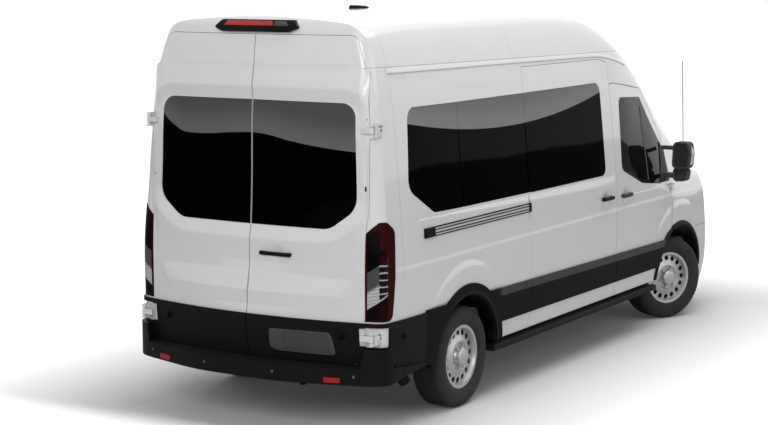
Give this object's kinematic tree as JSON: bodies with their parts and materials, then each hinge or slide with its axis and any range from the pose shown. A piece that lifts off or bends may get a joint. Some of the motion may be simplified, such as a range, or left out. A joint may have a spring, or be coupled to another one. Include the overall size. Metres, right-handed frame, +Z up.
{
  "type": "high-roof passenger minibus, long wheelbase",
  "caption": "High-roof passenger minibus with sliding side door, twin rear doors, hinged cab doors and bonnet, steering front wheels and a hollow cabin with seats.",
  "frame": {"origin": "on the ground, under the centre of the bounding box", "axes": "+X forward, +Y to the vehicle's left, +Z up"},
  "size_m": [6.0788, 2.4716, 2.7757],
  "materials": {
    "body_paint": "gloss white",
    "black_plastic": "matte",
    "glass_dark": "dark tinted",
    "glass_clear": "clear",
    "tyre": "matte",
    "rim_silver": "silver",
    "chassis": "black",
    "lamp_red": "gloss",
    "lamp_clear": "clear",
    "seat_fabric": "matte",
    "dash_plastic": "matte",
    "engine_metal": "rough",
    "exhaust_metal": "satin"
  },
  "bodies": {
    "shell": {"body_side_left": "body_paint", "body_side_right": "body_paint", "roof": "body_paint", "cab_front": "body_paint", "sliding_door": "body_paint", "fenders": "body_paint", "front_bumper": "body_paint", "rear_door_hinges": "body_paint", "side_cladding": "black_plastic", "rear_bumper": "black_plastic", "front_arch_trim": "black_plastic", "sliding_door_fittings": "black_plastic", "grille": "black_plastic", "cowl_panel": "black_plastic", "side_step": "black_plastic", "antennas": "black_plastic", "fuel_tank": "black_plastic", "side_glass": "glass_dark", "windscreen": "glass_clear", "rear_lamps": "lamp_red", "headlamps": "lamp_clear", "floor": "chassis", "front_bulkhead": "chassis", "front_suspension": "chassis", "rear_axle": "chassis", "spare_wheel": "chassis", "engine": "engine_metal", "exhaust": "exhaust_metal", "front_seats": "seat_fabric", "passenger_seats": "seat_fabric", "dashboard": "dash_plastic"},
    "front_door_left": {"front_door_left": "body_paint", "front_door_glass_left": "glass_clear", "front_door_trim_left": "black_plastic"},
    "rear_door_left": {"rear_door_left": "body_paint", "rear_door_glass_left": "glass_dark", "rear_door_cladding_left": "black_plastic"},
    "steering_left": {"steering_knuckle_left": "chassis"},
    "wheel_front_left": {"tyre_front_left": "tyre", "rim_front_left": "rim_silver"},
    "wheel_rear_left": {"tyre_rear_left": "tyre", "rim_rear_left": "rim_silver"},
    "front_door_right": {"front_door_right": "body_paint", "front_door_glass_right": "glass_clear", "front_door_trim_right": "black_plastic"},
    "rear_door_right": {"rear_door_right": "body_paint", "rear_door_glass_right": "glass_dark", "rear_door_cladding_right": "black_plastic"},
    "steering_right": {"steering_knuckle_right": "chassis"},
    "wheel_front_right": {"tyre_front_right": "tyre", "rim_front_right": "rim_silver"},
    "wheel_rear_right": {"tyre_rear_right": "tyre", "rim_rear_right": "rim_silver"},
    "bonnet": {"bonnet": "body_paint"}
  },
  "joints": [
    {"name": "rear_door_left_hinge", "type": "hinge", "parent": "shell", "child": "rear_door_left", "pos_m": [-2.856, 0.935, 0.676], "axis": [-0.0448, 0.0224, -0.9987], "range_deg": [0, 180]},
    {"name": "rear_door_right_hinge", "type": "hinge", "parent": "shell", "child": "rear_door_right", "pos_m": [-2.856, -0.935, 0.676], "axis": [0.0448, 0.0224, 0.9987], "range_deg": [0, 180]},
    {"name": "front_door_left_hinge", "type": "hinge", "parent": "shell", "child": "front_door_left", "pos_m": [1.841, 1.016, 0.9], "axis": [0, 0, -1], "range_deg": [0, 65]},
    {"name": "front_door_right_hinge", "type": "hinge", "parent": "shell", "child": "front_door_right", "pos_m": [1.841, -1.016, 0.9], "axis": [0, 0, 1], "range_deg": [0, 65]},
    {"name": "bonnet_hinge", "type": "hinge", "parent": "shell", "child": "bonnet", "pos_m": [2.518, 0, 1.288], "axis": [0, -1, 0], "range_deg": [0, 55]},
    {"name": "steering_left_turn", "type": "hinge", "parent": "shell", "child": "steering_left", "pos_m": [2.017, 0.836, 0.356], "axis": [0, 0, 1], "range_deg": [-8, 62]},
    {"name": "wheel_front_left_spin", "type": "hinge", "parent": "steering_left", "child": "wheel_front_left", "pos_m": [2.03062, 0.86273, 0.356], "axis": [0.454, 0.891, 0], "continuous": true},
    {"name": "wheel_rear_left_spin", "type": "hinge", "parent": "shell", "child": "wheel_rear_left", "pos_m": [-1.733, 0.8715, 0.356], "axis": [0, 1, 0], "continuous": true},
    {"name": "steering_right_turn", "type": "hinge", "parent": "shell", "child": "steering_right", "pos_m": [2.017, -0.836, 0.356], "axis": [0, 0, 1], "range_deg": [-8, 62]},
    {"name": "wheel_front_right_spin", "type": "hinge", "parent": "steering_right", "child": "wheel_front_right", "pos_m": [2.00338, -0.86273, 0.356], "axis": [0.454, 0.891, 0], "continuous": true},
    {"name": "wheel_rear_right_spin", "type": "hinge", "parent": "shell", "child": "wheel_rear_right", "pos_m": [-1.733, -0.8715, 0.356], "axis": [0, 1, 0], "continuous": true}
  ],
  "couplings": [
    {"joint": "steering_right_turn", "follows": "steering_left_turn", "ratio": 1}
  ]
}
